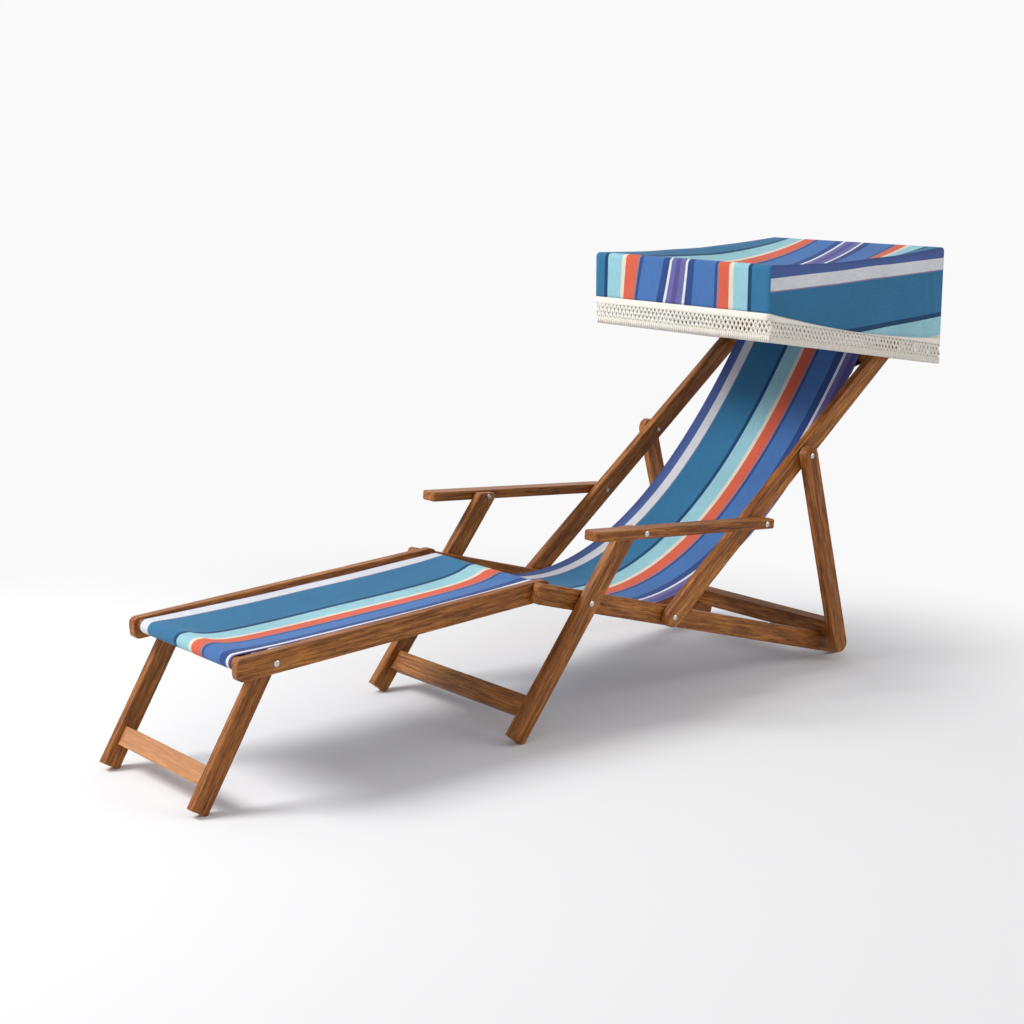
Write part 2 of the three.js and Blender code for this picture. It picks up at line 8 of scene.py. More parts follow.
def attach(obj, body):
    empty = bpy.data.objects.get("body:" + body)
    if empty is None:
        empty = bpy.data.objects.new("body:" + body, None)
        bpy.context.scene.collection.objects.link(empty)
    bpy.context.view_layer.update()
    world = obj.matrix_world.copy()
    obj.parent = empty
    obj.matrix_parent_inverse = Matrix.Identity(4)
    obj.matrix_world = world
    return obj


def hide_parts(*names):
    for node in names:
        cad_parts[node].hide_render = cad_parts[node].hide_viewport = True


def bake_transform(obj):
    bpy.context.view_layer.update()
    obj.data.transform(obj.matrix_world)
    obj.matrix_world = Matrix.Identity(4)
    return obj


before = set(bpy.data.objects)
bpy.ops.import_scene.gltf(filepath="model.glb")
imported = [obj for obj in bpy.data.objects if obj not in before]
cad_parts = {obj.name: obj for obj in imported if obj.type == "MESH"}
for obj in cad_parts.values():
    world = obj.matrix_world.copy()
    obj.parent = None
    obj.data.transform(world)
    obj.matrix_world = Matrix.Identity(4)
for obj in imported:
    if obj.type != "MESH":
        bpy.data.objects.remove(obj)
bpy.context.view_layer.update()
scene = bpy.context.scene
scene.view_settings.view_transform = "Standard"


# The camera stands off the near foot corner of the chair at seat height, with a short
# telephoto lens, as the chair was photographed.
lens = bpy.data.cameras.new("camera")
lens.sensor_width = 36
lens.lens = 64.65
lens.clip_end = 100
camera = bpy.data.objects.new("camera", lens)
camera.location = (3.2507, -2.8587, 1.3563)
looked_at = Vector((-0.0239, -0.0951, 0.4554))
sight = looked_at - camera.location
camera.rotation_euler = sight.to_track_quat("-Z", "Y").to_euler()
scene.collection.objects.link(camera)
scene.camera = camera


# The base rails are planed and varnished tropical hardwood, a reddish brown with long
# straight grain, fine dark pores and a low sheen. Every timber is cut from the same stock,
# so one material turns the grain along each piece and shifts it from board to board.
def linear(code):
    parts = [int(code[i:i + 2], 16) / 255 for i in (0, 2, 4)]
    return [c / 12.92 if c <= 0.04045 else ((c + 0.055) / 1.055) ** 2.4 for c in parts] + [1]


def add_node(tree, kind, inputs, stops=(), **settings):
    node = tree.nodes.new("ShaderNode" + kind)
    for setting, value in settings.items():
        setattr(node, setting, value)
    for socket, value in inputs.items():
        if isinstance(value, bpy.types.NodeSocket):
            tree.links.new(value, node.inputs[socket])
        else:
            node.inputs[socket].default_value = value
    for i, (position, code) in enumerate(stops):
        elements = node.color_ramp.elements
        stop = elements[i] if i < 2 else elements.new(position)
        stop.position = position
        stop.color = linear(code)
    return node


def new_material(name):
    material = bpy.data.materials.new(name)
    material.use_nodes = True
    material.node_tree.nodes.clear()
    return material, material.node_tree


GRAIN_STRETCH = 16          # a grain line is this many times longer than it is wide
FIGURE_PER_METRE = 150      # growth bands 6 to 7 mm apart on the face
FIBRE_PER_METRE = 520       # fibres under 2 mm, drawn coarser than the real 0.5 mm to show
TONE_PER_METRE = 22         # lighter and darker parts of a board, about 45 mm across
PORES_SHOW = 0.75
TONE_SHOWS = 0.8
EDGE_HIGHLIGHT_AND_WEAR = 0.0022          # the eased edge, in metres, painted lighter: a painted highlight and rubbed varnish


def varnished_hardwood(name, slope=0.0, along_x=False, board=0.0, painted_highlight=0.0):
    """Grain along Y, turned by slope degrees, or along X; board is where it was cut."""
    material, tree = new_material(name)
    where = add_node(tree, "TexCoord", {}).outputs["Object"]
    stretch = (GRAIN_STRETCH, 1, 1) if along_x else (1, GRAIN_STRETCH, 1)
    grain = add_node(tree, "Mapping", {
        "Vector": where,
        "Location": (board, board * 3, board * 2),
        "Rotation": (math.radians(slope), 0, 0),
        "Scale": stretch,
    }, vector_type="TEXTURE").outputs["Vector"]
    figure = add_node(tree, "TexNoise", {
        "Vector": grain, "Scale": FIGURE_PER_METRE, "Detail": 4, "Roughness": 0.55,
        "Distortion": 0.6,
    }).outputs["Fac"]
    fibre = add_node(tree, "TexNoise", {
        "Vector": grain, "Scale": FIBRE_PER_METRE, "Detail": 3, "Roughness": 0.7,
    }).outputs["Fac"]
    tone = add_node(tree, "TexNoise", {
        "Vector": grain, "Scale": TONE_PER_METRE, "Detail": 2,
    }).outputs["Fac"]
    wood = add_node(tree, "ValToRGB", {"Fac": figure}, stops=[
        (0.30, "74461f"), (0.48, "a06832"), (0.60, "ba7e40"), (0.74, "d09655"),
    ]).outputs["Color"]
    pores = add_node(tree, "ValToRGB", {"Fac": fibre}, stops=[
        (0.36, "8a6c4e"), (0.50, "ffffff"),
    ]).outputs["Color"]
    boards = add_node(tree, "ValToRGB", {"Fac": tone}, stops=[
        (0.30, "d0b294"), (0.70, "fff6e8"),
    ]).outputs["Color"]
    pored = add_node(tree, "Mix", {0: PORES_SHOW, 6: wood, 7: pores},
                     data_type="RGBA", blend_type="MULTIPLY").outputs[2]
    toned = add_node(tree, "Mix", {0: TONE_SHOWS, 6: pored, 7: boards},
                     data_type="RGBA", blend_type="MULTIPLY").outputs[2]
    # painted highlight: a share of pale tan mixed in, for a face lit by the lamp in front
    if painted_highlight:
        toned = add_node(tree, "Mix", {0: painted_highlight, 6: toned, 7: linear("efb383")},
                         data_type="RGBA").outputs[2]
    eased = add_node(tree, "Bevel", {"Radius": EDGE_HIGHLIGHT_AND_WEAR}, samples=4).outputs["Normal"]
    flat = add_node(tree, "NewGeometry", {}).outputs["Normal"]
    level = add_node(tree, "VectorMath", {0: eased, 1: flat}, operation="DOT_PRODUCT")
    # painted highlight: the eased edges turn lighter for the light they catch, and for rubbed
    # varnish
    edge_highlight_and_wear = add_node(tree, "MapRange", {
        "Value": level.outputs["Value"], "From Min": 0.99, "From Max": 0.80,
        "To Min": 0.0, "To Max": 0.35,
    }).outputs["Result"]
    colour = add_node(tree, "Mix", {0: edge_highlight_and_wear, 6: toned, 7: linear("b98552")},
                      data_type="RGBA").outputs[2]
    rough = add_node(tree, "MapRange", {
        "Value": fibre, "To Min": 0.34, "To Max": 0.50,
    }).outputs["Result"]
    raised = add_node(tree, "Bump", {
        "Height": fibre, "Strength": 0.35, "Distance": 0.0003, "Normal": eased,
    }).outputs["Normal"]
    shader = add_node(tree, "BsdfPrincipled", {
        "Base Color": colour, "Roughness": rough, "Normal": raised, "IOR": 1.5,
        "Specular IOR Level": 0.25,
    }).outputs["BSDF"]
    add_node(tree, "OutputMaterial", {"Surface": shader})
    return material


def finish_nodes(material, *names):
    for name in names:
        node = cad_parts[name]
        node.data.materials.clear()
        node.data.materials.append(material)


BASE_SLOPE = -16.5          # degrees that the grain is turned with the piece
finish_nodes(varnished_hardwood("hardwood_base_left", BASE_SLOPE, board=0.3),
             "base_rail_left")
finish_nodes(varnished_hardwood("hardwood_base_right", BASE_SLOPE, board=1.1),
             "base_rail_right")
finish_nodes(varnished_hardwood("hardwood_bars", along_x=True, board=0.5),
             "seat_front_bar", "sling_top_bar", "footrest_roller", "footrest_front_bar",
             "canopy_front_bar", "canopy_rear_bar")


# The back rails are two long timbers of the same stock, each bolted to its base rail near
# the lower end. They carry the sling's top bar and, on their upper ends, the canopy.
BACK_SLOPE = 37.5
finish_nodes(varnished_hardwood("hardwood_back_left", BACK_SLOPE, board=1.7),
             "back_rail_left")
finish_nodes(varnished_hardwood("hardwood_back_right", BACK_SLOPE, board=2.3),
             "back_rail_right")


# The front legs are cut from the same timber, cross the base rails on one bolt each and
# carry the arms. A flat board is tenoned between them as a stretcher.
FRONT_LEG_SLOPE = 51.7
finish_nodes(varnished_hardwood("hardwood_legs", FRONT_LEG_SLOPE, board=0.9),
             "front_leg_left", "front_leg_right")
finish_nodes(varnished_hardwood("hardwood_boards", along_x=True, board=2.9),
             "front_leg_stretcher", "prop_board")


# The arms are flat boards with their corners just rounded, bolted through their width to
# the front legs and the back rails.
ARM_SLOPE = -4.9
finish_nodes(varnished_hardwood("hardwood_arms", ARM_SLOPE, board=1.3),
             "arm_left", "arm_right")


# The props are two timbers bolted to the back rails, with a board tenoned between their
# lower ends that stands in the last notches of the base.
PROP_SLOPE = -74.7
finish_nodes(varnished_hardwood("hardwood_props", PROP_SLOPE, board=0.7),
             "prop_left", "prop_right")


# The footrest's side rails turn on a roller in the base and have two short legs bolted to
# them, all of the same timber. The legs' stretcher is painted lighter: a painted
# highlight for the light its front face catches from the lamp before the foot end.
FOOTREST_SLOPE = 2.5
FOOT_LEG_SLOPE = 58.75
finish_nodes(varnished_hardwood("hardwood_footrest_left", FOOTREST_SLOPE, board=3.3),
             "footrest_rail_left")
finish_nodes(varnished_hardwood("hardwood_footrest_right", FOOTREST_SLOPE, board=2.7),
             "footrest_rail_right")
finish_nodes(varnished_hardwood("hardwood_foot_legs", FOOT_LEG_SLOPE, board=3.9),
             "foot_leg_left", "foot_leg_right")
# painted highlight: the stretcher's wood mixed towards pale tan for the lamp's light on it
finish_nodes(varnished_hardwood("hardwood_painted_lit_board", along_x=True, board=2.9, painted_highlight=0.38),
             "foot_leg_stretcher")


# The bolts, nuts, washers, wing nuts and the canopy's flat strips are zinc-plated mild
# steel, pressed, forged or rolled and then barrel plated. That leaves a soft bright metal
# with a faint mottle.
MOTTLE_PER_METRE = 900      # spots a little over a millimetre across


def plated_steel(name):
    material, tree = new_material(name)
    where = add_node(tree, "TexCoord", {}).outputs["Object"]
    mottle = add_node(tree, "TexNoise", {
        "Vector": where, "Scale": MOTTLE_PER_METRE, "Detail": 2,
    }).outputs["Fac"]
    colour = add_node(tree, "ValToRGB", {"Fac": mottle}, stops=[
        (0.35, "b4b5b3"), (0.65, "dadad6"),
    ]).outputs["Color"]
    rough = add_node(tree, "MapRange", {
        "Value": mottle, "To Min": 0.24, "To Max": 0.40,
    }).outputs["Result"]
    shader = add_node(tree, "BsdfPrincipled", {
        "Base Color": colour, "Metallic": 1.0, "Roughness": rough,
    }).outputs["BSDF"]
    add_node(tree, "OutputMaterial", {"Surface": shader})
    return material


steel = plated_steel("zinc_plated_steel")
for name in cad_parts:
    if any(word in name for word in ("bolt", "washer", "wing_nut", "strip")):
        finish_nodes(steel, name)


# The slings are heavy woven cotton canvas with yarn-dyed stripes, which gives crisp matt
# bands with a fine rib and thin slubs. The edges are the selvedges of the cloth, and each
# end is turned round a bar and sewn back on itself as a pocket.
STRIPES = [                 # widths in millimetres, and colours, across one repeat
    (30, "5169a8"), (32, "eaecf2"), (3, "9c8aa6"), (107, "357ba6"), (11, "15466f"),
    (48, "a2d8e4"), (14, "f3ead4"), (33, "ea6a4e"), (7, "a8808f"), (8, "35528c"),
    (61, "4c7cbd"), (23, "2f5090"), (9, "f6f5f6"), (20, "7472b2"), (18, "605a9c"),
    (20, "7472b2"), (9, "f6f5f6"), (23, "2f5090"), (61, "4c7cbd"), (8, "35528c"),
    (7, "a8808f"), (33, "ea6a4e"), (14, "f3ead4"), (48, "a2d8e4"), (11, "15466f"),
    (107, "357ba6"),
]
PURPLE = 14                 # the stripe that the repeat is mirrored about
CENTRE = (sum(width for width, _ in STRIPES[:PURPLE]) + STRIPES[PURPLE][0] / 2) / 1000
REPEAT = sum(width for width, _ in STRIPES) / 1000
THREADS_PER_METRE = 900     # drawn at 1.1 mm, about twice the real spacing, to show
ONE_BAND = 0.314            # the scale at which a wave texture has one band a unit
SLUBS_PER_METRE = (700, 40, 1)      # 1.4 mm across the yarn and 25 mm along it
FADES_PER_METRE = 5         # patches of sun fading, 200 mm across
YARN_SHOWS = 0.8
FADE_SHOWS = 0.8


def striped_canvas(name):
    material, tree = new_material(name)
    cloth = add_node(tree, "UVMap", {}, uv_map="cloth").outputs["UV"]
    part = add_node(tree, "SeparateXYZ", {"Vector": cloth})
    share = add_node(tree, "Math", {0: part.outputs["X"], 1: REPEAT}, operation="DIVIDE")
    edges = [sum(width for width, _ in STRIPES[:i]) / 1000 / REPEAT
             for i in range(len(STRIPES))]
    stripes = add_node(tree, "ValToRGB", {"Fac": share.outputs["Value"]},
                       stops=[(edge, code) for edge, (_, code) in zip(edges, STRIPES)])
    stripes.color_ramp.interpolation = "CONSTANT"
    threads = add_node(tree, "Mapping", {
        "Vector": cloth, "Scale": (THREADS_PER_METRE, THREADS_PER_METRE, 1),
    }).outputs["Vector"]
    warp = add_node(tree, "TexWave", {"Vector": threads, "Scale": ONE_BAND},
                    wave_type="BANDS", bands_direction="X").outputs["Fac"]
    weft = add_node(tree, "TexWave", {"Vector": threads, "Scale": ONE_BAND},
                    wave_type="BANDS", bands_direction="Y").outputs["Fac"]
    weave = add_node(tree, "Math", {0: warp, 1: weft}, operation="MULTIPLY").outputs["Value"]
    lengthwise = add_node(tree, "Mapping", {
        "Vector": cloth, "Scale": SLUBS_PER_METRE,
    }).outputs["Vector"]
    slub = add_node(tree, "TexNoise", {
        "Vector": lengthwise, "Scale": 1.0, "Detail": 2,
    }).outputs["Fac"]
    yarn = add_node(tree, "ValToRGB", {"Fac": slub}, stops=[
        (0.25, "d9d9d9"), (0.75, "ffffff"),
    ]).outputs["Color"]
    faded = add_node(tree, "TexNoise", {
        "Vector": cloth, "Scale": FADES_PER_METRE, "Detail": 3,
    }).outputs["Fac"]
    fade = add_node(tree, "ValToRGB", {"Fac": faded}, stops=[
        (0.3, "e8e8ea"), (0.7, "ffffff"),
    ]).outputs["Color"]
    yarned = add_node(tree, "Mix", {0: YARN_SHOWS, 6: stripes.outputs["Color"], 7: yarn},
                      data_type="RGBA", blend_type="MULTIPLY").outputs[2]
    colour = add_node(tree, "Mix", {0: FADE_SHOWS, 6: yarned, 7: fade},
                      data_type="RGBA", blend_type="MULTIPLY").outputs[2]
    raised = add_node(tree, "Bump", {
        "Height": weave, "Strength": 0.5, "Distance": 0.0003,
    }).outputs["Normal"]
    shader = add_node(tree, "BsdfPrincipled", {
        "Base Color": colour, "Roughness": 0.9, "Normal": raised, "Sheen Weight": 0.10,
        "Sheen Roughness": 0.5, "Specular IOR Level": 0.25,
    }).outputs["BSDF"]
    add_node(tree, "OutputMaterial", {"Surface": shader})
    return material


HANG_STEPS = 60
TANGENT_PASSES = 12         # enough for the ends to settle on the bars


def hang(low, low_radius, high, high_radius, sag):
    """A parabola from the top of one bar to the top of the other, tangent to both."""
    slopes = (0.0, 0.0)
    for _ in range(TANGENT_PASSES):
        leans = [math.atan(slope) for slope in slopes]
        ends = [bar + radius * Vector((-math.sin(lean), math.cos(lean)))
                for bar, radius, lean in zip((low, high), (low_radius, high_radius), leans)]
        run = ends[1].x - ends[0].x
        chord = (ends[1].y - ends[0].y) / run
        slopes = (chord - 4 * sag / run, chord + 4 * sag / run)
    shares = [i / HANG_STEPS for i in range(HANG_STEPS + 1)]
    return [ends[0].lerp(ends[1], share) - Vector((0, 4 * sag * share * (1 - share)))
            for share in shares]


def resampled(points, spacing):
    """The same line in even steps of about this spacing."""
    lengths = [0.0]
    for a, b in zip(points, points[1:]):
        lengths.append(lengths[-1] + (b - a).length)
    count = round(lengths[-1] / spacing)
    evenly, at = [], 0
    for i in range(count + 1):
        target = lengths[-1] * i / count
        while at < len(points) - 2 and lengths[at + 1] < target:
            at += 1
        share = (target - lengths[at]) / (lengths[at + 1] - lengths[at])
        evenly.append(points[at].lerp(points[at + 1], share))
    return evenly


POCKET_STITCH = 0.036       # from where the cloth leaves the bar to the pocket's stitching
POCKET_HEM = 0.060          # and to the hem's raw end
UNDER_HEM = 0.0022          # the hem lies this far under the cloth
POCKET_STEP = 0.004
ROUND_BAR_STEPS = 24


def pocket(bar, line):
    """Points from the hem under the cloth, round the bar and up to where line starts."""
    near = resampled(line, POCKET_STEP)
    hem = []
    last, first = round(POCKET_HEM / POCKET_STEP), round(POCKET_STITCH / POCKET_STEP)
    for i in range(last, first - 1, -1):
        tangent = (near[i + 1] - near[i]).normalized()
        side = Vector((-tangent.y, tangent.x))
        if side.dot(line[0] - bar) < 0:
            side.negate()
        hem.append(near[i] - side * UNDER_HEM)
    out = (hem[-1] - bar).normalized()
    leave = line[0] - bar
    arrive = 2 * leave.dot(out) * out - leave       # the hem meets the bar opposite
    start = math.atan2(arrive.y, arrive.x)
    turn = math.atan2(leave.y, leave.x) - start     # and goes round its far side
    away = math.atan2(-out.y, -out.x)
    while turn <= 0:
        turn += 2 * math.pi
    if not 0 < (away - start) % (2 * math.pi) < turn:
        turn -= 2 * math.pi
    angles = [start + turn * i / ROUND_BAR_STEPS for i in range(ROUND_BAR_STEPS)]
    round_bar = [bar + leave.length * Vector((math.cos(angle), math.sin(angle)))
                 for angle in angles]
    return hem + round_bar


CANVAS_THICK = 0.0016


def sheet_grid(name, across, path, place, material, thick=CANVAS_THICK):
    """Cloth as a grid, its columns at across from its first edge and its rows along path."""
    bm = bmesh.new()
    bmesh.ops.create_grid(bm, x_segments=len(across) - 1, y_segments=len(path) - 1, size=1)
    cloth = bm.loops.layers.uv.new("cloth")
    run = [0.0]
    for a, b in zip(path, path[1:]):
        run.append(run[-1] + (b - a).length)
    cells = {v: (round((v.co.x + 1) / 2 * (len(across) - 1)),
                 round((v.co.y + 1) / 2 * (len(path) - 1))) for v in bm.verts}
    for face in bm.faces:
        for loop in face.loops:
            i, j = cells[loop.vert]
            loop[cloth].uv = (across[i], run[j])
    for v, (i, j) in cells.items():
        v.co = place(across[i], j)
    mesh = bpy.data.meshes.new(name)
    bmesh.ops.recalc_face_normals(bm, faces=bm.faces)
    bm.to_mesh(mesh)
    bm.free()
    mesh.materials.append(material)
    for polygon in mesh.polygons:
        polygon.use_smooth = True
    piece = bpy.data.objects.new(name, mesh)
    scene.collection.objects.link(piece)
    wall = piece.modifiers.new("thickness", "SOLIDIFY")
    wall.thickness = thick
    wall.offset = 0
    return piece, run[-1]


canvas = striped_canvas("woven_cotton_canvas")


SLING_ROW = 0.006           # the grid's rows are this far apart along the cloth
SELVEDGE = [0.0, 0.0015, 0.011, 0.0125]     # closer columns near each edge
EDGE_BAND = 0.02
COLUMNS = 32
BAR_CLEAR = 0.016           # the cloth starts to hang this far inside each bar
RIPPLE = 0.0016
RIPPLE_ACROSS = 14          # unevenness of the cloth, about 70 mm across
RIPPLE_ALONG = 4            # and a quarter of its length along


def sling(name, width, first_stripe, low, low_radius, high, high_radius, sag, belly, flatness):
    """A sling from the bar low to the bar high. Its middle hangs belly deeper than its
    edges, and flatness spreads that along it; first_stripe is its first edge's place in
    the repeat."""
    line = hang(low, low_radius, high, high_radius, sag)
    path = resampled(pocket(low, line) + line + pocket(high, line[::-1])[::-1], SLING_ROW)
    middle = [EDGE_BAND + (width - 2 * EDGE_BAND) * i / COLUMNS for i in range(COLUMNS + 1)]
    across = SELVEDGE + middle + [width - x for x in SELVEDGE[::-1]]
    first_edge = -width / 2

    def place(x, j):
        point = path[j]
        aside = 2 * x / width - 1
        span = (point.x - low.x - BAR_CLEAR) / (high.x - low.x - 2 * BAR_CLEAR)
        span = min(1, max(0, span))
        slope = (high.y - low.y + 4 * sag * (2 * span - 1)) / (high.x - low.x)
        inward = Vector((slope, -1)).normalized()
        hanging = 1 - abs(2 * span - 1) ** flatness
        drop = belly * max(0, 1 - aside * aside) ** 1.5
        drop += RIPPLE * noise.noise(Vector((x * RIPPLE_ACROSS, span * RIPPLE_ALONG, width)))
        point = point + inward * drop * hanging
        return Vector((first_edge + x, point.x, point.y))

    piece, length = sheet_grid(name, across, path, place, canvas)
    for loop in piece.data.uv_layers["cloth"].data:
        loop.uv.x += first_stripe
    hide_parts(name.removesuffix("_cloth"))
    return piece, length


CLOTH_OUT = 0.0015          # the middle of the cloth, off the bar it passes over
FRONT_BAR_RADIUS = 0.0125
BAR_RADIUS = 0.014          # of the other bars
SEAT_WIDTH = 0.430
seat_cloth, seat_length = sling(
    "seat_sling_cloth", SEAT_WIDTH, first_stripe=0.0,
    low=Vector((-0.168075, 0.3067)), low_radius=FRONT_BAR_RADIUS + CLOTH_OUT,
    high=Vector((0.891251, 0.769735)), high_radius=BAR_RADIUS + CLOTH_OUT,
    sag=0.260, belly=0.006, flatness=2)
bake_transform(seat_cloth)

FOOT_WIDTH = 0.364
foot_cloth, foot_length = sling(
    "footrest_sling_cloth", FOOT_WIDTH, first_stripe=0.030,
    low=Vector((-0.992634, 0.301096)), low_radius=BAR_RADIUS + CLOTH_OUT,
    high=Vector((-0.209075, 0.3283)), high_radius=BAR_RADIUS + CLOTH_OUT,
    sag=0.004, belly=0.017, flatness=10)
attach(foot_cloth, "footrest")


# The canopy cover is the same canvas, cut and sewn as a box without a bottom: one length
# runs from the front hem over both bars to the rear hem, and a shaped side piece is seamed
# on at each side. It sags between its bars and its sides hang in soft folds.
FRONT_BAR = Vector((0.441808, 1.02031))     # the bars' middles, as (y, z)
REAR_BAR = Vector((1.100808, 1.03431))
COVER_ROUND = 0.0115        # from the middle of a bar to that of the cloth over it
COVER_HALF = 0.3038         # half the cover's width in front
COVER_TAPER = 0.015         # how much less that is behind
COVER_THICK = 0.0014
TOP_EDGE_SAG = 0.010
TOP_MIDDLE_SAG = 0.055
FRONT_HEM = 0.918           # heights of the hem
REAR_HEM = 0.810
SEAM = 0.00005              # edges this close are sewn into one
WALL_ROWS = 14
ROUND_STEPS = 6
COVER_COLUMNS = 48
STRIPE_CENTRE = -0.022      # the middle of the purple stripe, off the middle of the chair
STRIPES_STRAY = 0.019       # how far the stripes have moved across at the rear bar
BLUE_FROM = 0.061           # the blue bands start this far from the middle of the purple one
BLUE_WIDE = 0.061           # their width on the slings
WIDER_LEFT = 0.020          # how much wider they are on the cover, on the chair's left
WIDER_RIGHT = 0.009         # and on its right
SKEW = 0.026                # how far the cloth is drawn aside over the front bar
SKEW_AT = -0.07             # where it is drawn most
SKEW_WIDE = 0.12
SIDE_RAISED = 0.002         # how far up the stripes of the side pieces sit, in front
SIDE_SLANT = 0.004          # and how much higher behind
HEM_SAG = 0.016             # how far the side hems hang over the fringe's heading
HEM_PROUD = 0.0028          # and how far they stand off it
PROUD_GROWS = 6             # that is full within a few centimetres of a corner
SIDE_DEEP = 0.22            # under the top edge, where the folds of a side have full size
WALL_GROWS = 1.6            # a wall's unevenness has it this much sooner
CREASE_GROWS = 3            # and a crease this much sooner
FOLDS = 3
FOLD_DEEP = 0.006
CREASES = (0.885, 0.935)    # where the side pieces crease near the rear bar, as shares
CREASE_WIDE = 0.012
CREASE_LEAN = 0.05
CREASE_DEEP = 0.007
SIDE_WAVER = 0.004          # slow unevenness of the sides, the front, the rear and the top
FRONT_WAVER = 0.004
REAR_WAVER = 0.003
TOP_WAVER = 0.0025
SIDE_WAVES = (9, 9, 5), (0, 0, 0)       # noise per metre across, along and up, and its
FRONT_WAVES = (16, 0, 4), (0, 3.1, 0)   # offset, so that no two walls are alike
REAR_WAVES = (14, 0, 4), (0, 8.7, 0)
TOP_WAVES = (11, 8, 0), (0, 0, 5)
WAVER_FADES = 12            # the ends' unevenness is gone a twelfth of the way along


def uneven(x, y, z, waves):
    per_metre, offset = waves
    return noise.noise(Vector([at * often + start for at, often, start
                               in zip((x, y, z), per_metre, offset)]))


def drape(point):
    """Where the cover's cloth hangs, from where it would be as a plain tight box."""
    x, y, z = point
    along = min(1, max(0, (y - FRONT_BAR.x) / (REAR_BAR.x - FRONT_BAR.x)))
    aside = x / COVER_HALF
    edge = FRONT_BAR.y + (REAR_BAR.y - FRONT_BAR.y) * along - TOP_EDGE_SAG
    fall = max(0, edge - z) / SIDE_DEEP
    fold = math.sin(math.pi * along) * (1 - math.cos(2 * FOLDS * math.pi * along)) / 2
    crease = sum(math.exp(-((along - at - CREASE_LEAN * fall) / CREASE_WIDE) ** 2)
                 for at in CREASES)
    ripple = SIDE_WAVER * uneven(x, y, z, SIDE_WAVES)
    wall = min(1, fall * WALL_GROWS)
    side = aside ** 7 * math.sin(math.pi * along) ** 0.5 if along > 0 else 0
    x += -COVER_TAPER * aside * along + FOLD_DEEP * fold * fall * aside
    x += side * (ripple * wall + CREASE_DEEP * crease * min(1, fall * CREASE_GROWS))
    free = (1 - aside ** 4) * wall
    front = FRONT_WAVER * max(0, 1 - along * WAVER_FADES)
    y += front * free * uneven(x, y, z, FRONT_WAVES)
    rear = REAR_WAVER * max(0, 1 - (1 - along) * WAVER_FADES)
    y += rear * free * uneven(x, y, z, REAR_WAVES)
    z -= TOP_MIDDLE_SAG * (1 - aside * aside) * 4 * along * (1 - along)
    top = TOP_WAVER * math.sin(math.pi * along) ** 2 * (1 - wall)
    z += top * uneven(x, y, z, TOP_WAVES)
    return Vector((x, y, z))


def quarter_round(bar, start):
    angles = [start - math.pi / 2 * i / ROUND_STEPS for i in range(1, ROUND_STEPS)]
    return [bar + COVER_ROUND * Vector((math.cos(angle), math.sin(angle))) for angle in angles]


top_line = hang(FRONT_BAR, COVER_ROUND, REAR_BAR, COVER_ROUND, TOP_EDGE_SAG)
front_foot = FRONT_BAR + Vector((-COVER_ROUND, 0))
rear_foot = REAR_BAR + Vector((COVER_ROUND, 0))
over = [front_foot, *quarter_round(FRONT_BAR, math.pi), *top_line,
        *quarter_round(REAR_BAR, math.pi / 2), rear_foot]
front_wall = [Vector((front_foot.x, FRONT_HEM + (front_foot.y - FRONT_HEM) * i / WALL_ROWS))
              for i in range(WALL_ROWS)]
rear_wall = [Vector((rear_foot.x, rear_foot.y + (REAR_HEM - rear_foot.y) * i / WALL_ROWS))
             for i in range(1, WALL_ROWS + 1)]
length_path = front_wall + over + rear_wall
cover_across = [COVER_HALF * 2 * i / COVER_COLUMNS for i in range(COVER_COLUMNS + 1)]
cover, cover_length = sheet_grid(
    "canopy_cover_cloth", cover_across, length_path,
    lambda x, j: Vector((x - COVER_HALF, length_path[j].x, length_path[j].y)),
    canvas, thick=COVER_THICK)


def stripe_at(across):
    """The place in the repeat of what is this far across from the purple stripe."""
    out = abs(across)
    wider = WIDER_LEFT if across > 0 else WIDER_RIGHT
    if out > BLUE_FROM:
        in_blue = BLUE_FROM + (out - BLUE_FROM) * BLUE_WIDE / (BLUE_WIDE + wider)
        out = max(in_blue, out - wider)
    return CENTRE + math.copysign(out, across)


cover_cloth = cover.data.uv_layers["cloth"].data
for loop in cover.data.loops:
    x, y, z = cover.data.vertices[loop.vertex_index].co
    rise = min(1, max(0, (z - FRONT_HEM) / (FRONT_BAR.y - FRONT_HEM)))
    behind = min(1, max(0, (y - FRONT_BAR.x) / (REAR_BAR.x - FRONT_BAR.x)))
    drawn = SKEW * rise * (1 - behind) * math.exp(-((x - SKEW_AT) / SKEW_WIDE) ** 2)
    middle = STRIPE_CENTRE + STRIPES_STRAY * behind
    cover_cloth[loop.index].uv.x = stripe_at(x - middle - drawn)


SIDE_RUN = rear_foot.x - front_foot.x


def hem_at(y):
    return FRONT_HEM + (REAR_HEM - FRONT_HEM) * (y - front_foot.x) / SIDE_RUN


def side_piece(sign):
    """One side from its top edge to its hem; its stripes run along it, half as slack as it."""
    rows = [i / WALL_ROWS for i in range(WALL_ROWS + 1)]

    def place(row, j):
        top = over[j]
        slack = math.sin(math.pi * (top.x - front_foot.x) / SIDE_RUN)
        proud = HEM_PROUD * min(1, slack * PROUD_GROWS) * row ** 3
        tight = top.y + (hem_at(top.x) - top.y) * row
        hung = tight - HEM_SAG * slack * row * row
        return Vector((sign * (COVER_HALF + proud), top.x, hung))

    piece, _ = sheet_grid("canopy_side", rows, over, place, canvas)
    cloth = piece.data.uv_layers["cloth"].data
    for loop in piece.data.loops:
        _, y, z = piece.data.vertices[loop.vertex_index].co
        behind = (y - front_foot.x) / SIDE_RUN
        top = FRONT_BAR.y + COVER_ROUND + (REAR_BAR.y - FRONT_BAR.y) * behind
        row = cloth[loop.index].uv.x
        z += HEM_SAG / 2 * math.sin(math.pi * behind) * row * row
        cloth[loop.index].uv = (max(0, top - z + SIDE_RAISED + SIDE_SLANT * behind), y)
    return piece


